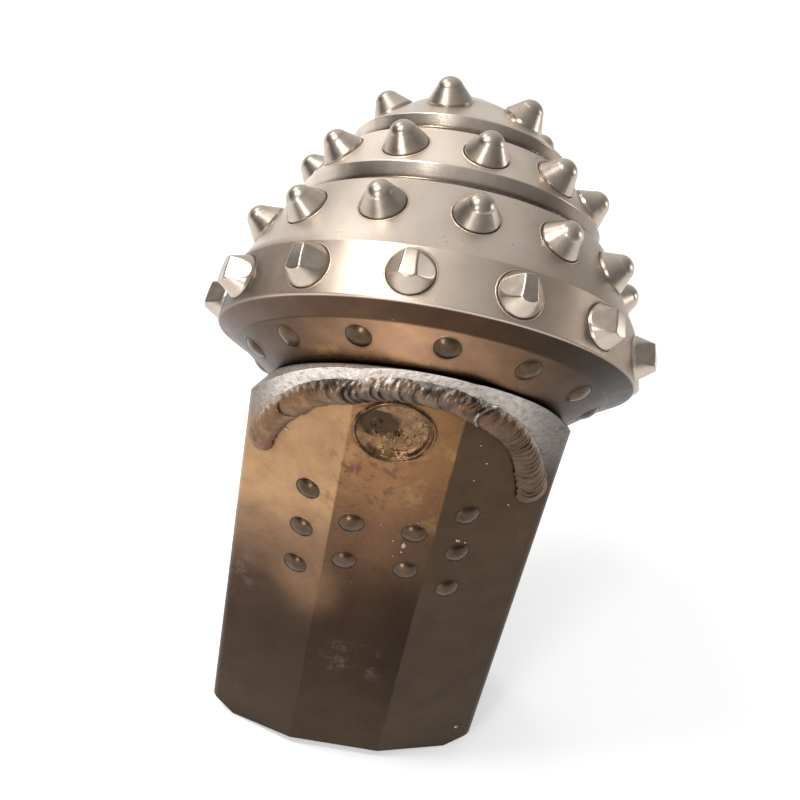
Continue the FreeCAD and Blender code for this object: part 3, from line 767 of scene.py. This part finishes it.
def bead():
    """The hardfacing bead: rippled weld metal laid outwards from one lap, deeply notched in its middle."""
    steps = bead_steps
    across = bead_across
    line, length = smooth_line(bead_line, steps)
    points = []
    faces = []
    deep = []
    bare = []
    ripples = 0.0
    for n, here in enumerate(line):
        t = n / steps
        run = t * length
        ahead = (line[min(n + 3, steps)] - line[max(n - 3, 0)]).normalized()
        side = Vector((-ahead.y, ahead.x))
        end = min(run, length - run)
        taper = math.sqrt(max(1.0 - max(1.0 - end / bead_half_width, 0.0) ** 2, 0.0))
        ragged = noise.noise(Vector((run * 0.16, 3.0, 0.0)))
        scallop = noise.noise(Vector((run * 0.5, 8.0, 0.0)))
        spread = 1.0 + 0.18 * ramp_up(t, 0.80, 0.12)
        low_width = bead_half_width * spread * (1.0 + 0.14 * ragged + 0.10 * scallop) * max(taper, 0.02)
        high_width = bead_half_width * spread * (1.0 - 0.06 * ragged + 0.06 * scallop) * max(taper, 0.02)
        darkened = ramp_up(t, 0.24, 0.06) * ramp_down(t, last_lap, 0.01)
        patch = clamp(0.5 + 3.0 * noise.noise(Vector((run * 0.12, 4.0, 4.0))))
        pitch = 1.4 + 0.9 * ramp_up(t, 0.72, 0.12)
        ripples += length / steps / pitch
        strong = 0.35 + 0.65 * ramp_up(t, 0.73, 0.06)
        fade = ramp_up(t, 0.05, 0.08) * ramp_down(t, 0.93, 0.12)
        for k in range(across + 1):
            v = math.sin(math.pi * (k / across - 0.5))
            width = high_width if v > 0 else low_width
            crown = math.sqrt(max(1.0 - v * v, 0.0)) ** 0.8 if v < 0 else math.cos(math.pi * v / 2) ** 0.85
            past = run - (last_lap * length + 5.0 * v * v - 2.2)
            away = 1.0 if past > 0 else -1.0
            lively = strong if past > 0 else max(0.42 * patch, 0.65 * darkened)
            bent = run - away * 3.2 * (1.0 - v * v)
            wander = 2.0 * noise.noise(Vector((run * 0.10, v * 0.8, 1.0)))
            lively *= min(max(0.75 + 0.9 * noise.noise(Vector((bent * 0.30, v * 0.6, 12.0))), 0.15), 1.3)
            wave = abs(math.sin(math.pi * (ripples + (bent - run + wander) / pitch)))
            coarse = noise.noise(Vector((bent * 0.42, v * 0.8, 5.0)))
            notch = 0.0
            for lap in notches:
                gone = run - lap * length - 3.2 * v * v
                strength = 1.0 - 0.8 * clamp(0.3 + noise.noise(Vector((lap * 90.0, v * 1.5, 2.0))))
                if past < 0 and -0.4 < gone < 3.5:
                    rise = min((gone + 0.4) / 0.4, 1.0)
                    notch = max(notch, strength * math.exp(-max(gone, 0.0) / 0.9) * rise)
            grain = noise.noise(Vector((run * 1.3, v * 5.0, 9.0)))
            edge = min(crown * 1.4, 1.0)
            up = bead_height * crown * (0.94 + 0.14 * coarse)
            up += (0.34 * lively * (wave - 0.6) + 0.07 * grain - 0.85 * notch) * edge
            lip = math.exp(-((past - 0.20) / 0.38) ** 2)
            gap = 0.85 * math.exp(-((past - 1.60) / 0.80) ** 2)
            under = 0.0 if past > 0 else 0.55 * ramp_down(v, -0.50, 0.45)
            up += (0.45 * lip - 0.50 * gap) * edge
            spot = here + side * (v * width)
            out = max(up * max(taper, 0.1), 0.02) if abs(v) < 1 else -0.4
            points.append(unfold(spot.x, spot.y, out))
            valley = max(0.42 - wave, 0.0) / 0.42 * lively
            flake = noise.fractal(Vector((run * 0.7, v * 1.6, 6.0)), 0.8, 2.0, 4)
            silver = clamp((v - 0.66 + 0.55 * flake * (0.4 + darkened)) / 0.25) * fade
            inner = clamp(1.1 - v)
            soot = 1.3 * darkened * (0.25 - coarse)
            # Painted shade in valleys, notches, the gap behind the lap's lip and under the lower edge; the soot is
            # real.
            darkest = max(0.8 * valley * inner, 1.4 * notch * inner, soot, gap, under)
            deep.append(min(darkest, 1.0) * max(edge, 0.5))
            # The lap's lip is marked like bare metal: a painted highlight.
            bare.append(min(max(silver * (0.5 if past > 0 else 0.9), 0.95 * lip), 1.0))
    row = across + 1
    for n in range(steps):
        for k in range(across):
            a = n * row + k
            faces.append((a, a + row, a + row + 1, a + 1))
        a = n * row
        faces.append((a, a + across, a + row + across, a + row))
    faces.append(tuple(range(across, -1, -1)))
    faces.append(tuple(range(steps * row, steps * row + row)))
    marks = {"deep": deep, "bare": bare}
    piece = make_object("hardfacing_bead", points, faces, bead_metal, "leg_body", marks=marks)
    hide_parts("shirttail_hardfacing")


def crater_at(x, y):
    """How far inside the plug weld's crater a place lies: 0 outside, 1 well inside. The crater is sunk by this and
    painted dark as shadow.
    """
    off = math.hypot((x + 5.4) * 0.80 + (y - 1.7) * 0.22, (y - 1.7) * 1.08)
    off += 1.6 * noise.noise(Vector((x * 0.35 + 3.3, y * 0.35, 7.0)))
    off += 0.7 * noise.noise(Vector((x * 0.9, y * 0.9 + 5.1, 7.0)))
    return ramp_down(off, 6.6, 1.8)


def weld_height(x, y):
    """The plug weld's face: a rim, a second lap inside it on the right, a crater, and small bubbles."""
    radius = math.hypot(x, y)
    angle = math.atan2(y, x)
    wobble = 0.35 * noise.noise(Vector((math.cos(angle) * 1.5, math.sin(angle) * 1.5, 2.0)))
    up = 0.95 * math.exp(-((radius - 12.3 - wobble) / 0.48) ** 2)
    up += 0.95 * max(math.cos(angle + 0.25), 0.0) ** 0.5 * math.exp(-((radius - 11.0 - wobble) / 0.38) ** 2)
    inside = 1.0 - ramp_up(radius, 9.4, 2.6)
    up -= 1.25 * inside * inside * (3 - 2 * inside)
    up -= 0.55 * crater_at(x, y)
    lively = inside * (0.5 + 0.5 * math.tanh((x - 0.6 * y - 1.0) / 2.5))
    cell = noise.voronoi(Vector((x * 0.62, y * 0.62, 1.0)))[0][0]
    up += 0.55 * lively * max(0.45 - cell, 0.0) / 0.45
    for scale, depth in ((0.35, 0.26), (1.0, 0.055), (2.2, 0.018)):
        up += depth * inside * noise.noise(Vector((x * scale + 1.7, y * scale, 3.0)))
    for bx, by, size in ((-5.6, 0.9, 1.5), (1.3, -1.6, 1.25)):
        off = math.hypot(x - bx, y - by)
        up += 0.40 * math.exp(-((off - size) / 0.45) ** 2)
    return up if radius < weld_radius - 0.05 else 0.0


def plug_weld():
    """The weld over the ball plug."""
    points, faces = relief(weld_radius - 0.02, -weld_depth, weld_height, 100, 240)
    # Where the crater is painted dark as shadow.
    darkened = [crater_at(x, y) for x, y, z in points]
    place = on_face(plug_x, plug_height)
    piece = make_object("plug_weld", points, faces, plug_metal, "leg_body", place, {"darkened": darkened})
    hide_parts("ball_plug_weld")


def droplet(size, stretch):
    """A drop of spatter: a flattened, stretched lump with an uneven top."""
    def height(x, y):
        radius = math.hypot(x, y) / size
        dome = size * 0.62 * math.sqrt(max(1.0 - radius * radius, 0.0))
        return dome * (1 + 0.2 * noise.noise(Vector((x, y, size))))

    points, faces = relief(size, -0.2, height, 8, 20)
    return [(x, y * stretch, z) for x, y, z in points], faces


def spatter():
    """Weld spatter on the leg's face, at the places where it is seen."""
    drops = [
        (6.4, 123.2, 0.85, 1.6, 0.0), (6.2, 119.8, 0.38, 1.2, 0.3), (2.7, 124.5, 0.32, 1.0, 0.0),
        (3.8, 117.2, 0.26, 1.3, 0.4), (24.2, 126.8, 0.65, 1.5, 0.9), (27.0, 125.4, 0.38, 1.2, 0.2),
        (22.9, 172.0, 0.36, 1.0, 0.0), (26.6, 163.5, 0.38, 1.1, 0.5), (23.8, 156.0, 0.30, 1.0, 0.0),
        (38.4, 142.6, 0.22, 3.4, 0.7), (45.6, 13.2, 0.75, 1.1, 0.0), (-20.0, 148.5, 0.35, 1.0, 0.0),
        (-38.5, 160.5, 0.5, 1.8, 1.2), (9.2, 135.3, 0.4, 1.0, 0.0), (-2.4, 131.5, 0.3, 1.0, 0.0),
    ]
    for _ in range(18):
        drops.append((
            random.uniform(-42, 44), random.uniform(95, 172), random.uniform(0.10, 0.2),
            random.uniform(0.9, 1.5), random.uniform(0, 3),
        ))
    points = []
    faces = []
    for along, height, size, stretch, turn in drops:
        place = on_face(along, height) @ Matrix.Rotation(turn, 4, "Z")
        shape, sides = droplet(size, stretch)
        first = len(points)
        points += [place @ (Vector(point) * MM) / MM for point in shape]
        faces += [tuple(first + corner for corner in side) for side in sides]
    piece = make_object("weld_spatter", points, faces, spatter_metal, "leg_body")


def dress_nodes():
    """The CAD nodes that stay in view get their materials."""
    looks = {
        "leg": leg_steel,
        "cone_shell": cone_steel,
        "ball_plug": bearing_steel,
        "ball_plug_weld": plug_metal,
        "shirttail_hardfacing": bead_metal,
        "retaining_balls": bearing_steel,
        "seal_ring": seal_rubber,
        "journal_bushing": bearing_bronze,
        "pilot_bushing": bearing_bronze,
        "thrust_washer": bearing_bronze,
    }
    for name, node in frame["nodes"].items():
        look = looks.get(name)
        if look is None:
            look = button_carbide if "button" in name else carbide
        for slot in node.material_slots:
            slot.material = look


def add_camera():
    """The photograph's viewpoint."""
    camera = bpy.data.cameras.new("camera")
    camera.sensor_width = 36.0
    camera.lens = 65.73
    camera.clip_start = 0.01
    holder = bpy.data.objects.new("camera", camera)
    bpy.context.scene.collection.objects.link(holder)
    right = Vector((0.98396, 0.08286, 0.15797))
    forward = Vector((0.04792, 0.73021, -0.68155))
    up = Vector((-0.17182, 0.67818, 0.71452))
    holder.matrix_world = Matrix.Translation((-0.02587, -0.35339, 0.48349)) @ Matrix((
        (right.x, up.x, -forward.x),
        (right.y, up.y, -forward.y),
        (right.z, up.z, -forward.z),
    )).to_4x4()
    bpy.context.scene.camera = holder


def add_floor():
    """A plain pale floor, brighter to the eye and in reflections than in the light it gives."""
    floor_shade = Shader("floor", 0.0, 0.9)
    floor_shade.surface.inputs["Base Color"].default_value = (0.86, 0.86, 0.86, 1)
    floor_shade.surface.inputs["Emission Color"].default_value = (1, 1, 1, 1)
    rays = floor_shade.nodes.new("ShaderNodeLightPath")
    seen = floor_shade.math("MAXIMUM", rays.outputs["Is Camera Ray"], rays.outputs["Is Glossy Ray"])
    seen = floor_shade.math("MAXIMUM", seen, rays.outputs["Is Transmission Ray"])
    floor_shade.link(floor_shade.math("MULTIPLY", seen, 0.38), floor_shade.surface, "Emission Strength")
    half = 30000.0
    corners_at = [(-half, -half, 0), (half, -half, 0), (half, half, 0), (-half, half, 0)]
    mesh = bpy.data.meshes.new("floor")
    mesh.from_pydata([Vector(corner) * MM for corner in corners_at], [], [(0, 1, 2, 3)])
    mesh.materials.append(floor_shade.material)
    floor = bpy.data.objects.new("floor", mesh)
    bpy.context.scene.collection.objects.link(floor)


def add_world():
    """Soft light all round, weaker from either side and from the front."""
    world = bpy.data.worlds.new("studio")
    world.use_nodes = True
    nodes = world.node_tree.nodes
    links = world.node_tree.links
    direction = nodes.new("ShaderNodeTexCoord")
    sides = nodes.new("ShaderNodeSeparateXYZ")
    links.new(direction.outputs["Generated"], sides.inputs[0])
    levels = []
    for axis, stops in (
        ("X", [(0.0, 0.10), (0.05, 0.22), (0.13, 0.60), (0.30, 1.0), (0.58, 0.85), (0.82, 0.50), (1.0, 0.28)]),
        ("Y", [(0.0, 0.50), (0.5, 0.62), (0.95, 1.0)]),
    ):
        spread = nodes.new("ShaderNodeMapRange")
        spread.inputs["From Min"].default_value = -1.0
        links.new(sides.outputs[axis], spread.inputs["Value"])
        ramp = nodes.new("ShaderNodeValToRGB")
        elements = ramp.color_ramp.elements
        while len(elements) < len(stops):
            elements.new(0.5)
        for element, (place, level) in zip(elements, stops):
            element.position = place
            element.color = (level, level, level, 1)
        links.new(spread.outputs[0], ramp.inputs["Fac"])
        levels.append(ramp.outputs["Color"])
    strength = nodes.new("ShaderNodeMath")
    strength.operation = "MULTIPLY"
    links.new(levels[0], strength.inputs[0])
    links.new(levels[1], strength.inputs[1])
    links.new(strength.outputs[0], nodes["Background"].inputs["Strength"])
    nodes["Background"].inputs["Color"].default_value = (1, 1, 1, 1)
    bpy.context.scene.world = world


def add_lamps():
    """Soft lamps, the main one high on the left."""
    target = Vector((0, 0, 0.15))
    lamps = [
        ("key", (-0.66, -0.06, 1.27), 0.34, 9.0),
        ("back", (-0.85, 0.75, 1.00), 0.5, 2.5),
        ("front", (-0.60, -1.05, 0.95), 0.28, 4.0),
        ("side", (1.35, 0.36, 0.42), 0.40, 2.5),
        ("low", (-0.42, -1.25, 0.20), 0.22, 3.0),
    ]
    for name, place, width, power in lamps:
        data = bpy.data.lights.new(name, "AREA")
        data.shape = "SQUARE"
        data.size = width
        data.energy = power
        lamp = bpy.data.objects.new(name, data)
        bpy.context.scene.collection.objects.link(lamp)
        lamp.location = place
        lamp.rotation_euler = (target - Vector(place)).to_track_quat("-Z", "Y").to_euler()


dress_nodes()
gauge_inserts()
insert_seats()
bead()
plug_weld()
spatter()
add_camera()
add_floor()
add_world()
add_lamps()
bpy.context.scene.view_settings.view_transform = "Standard"
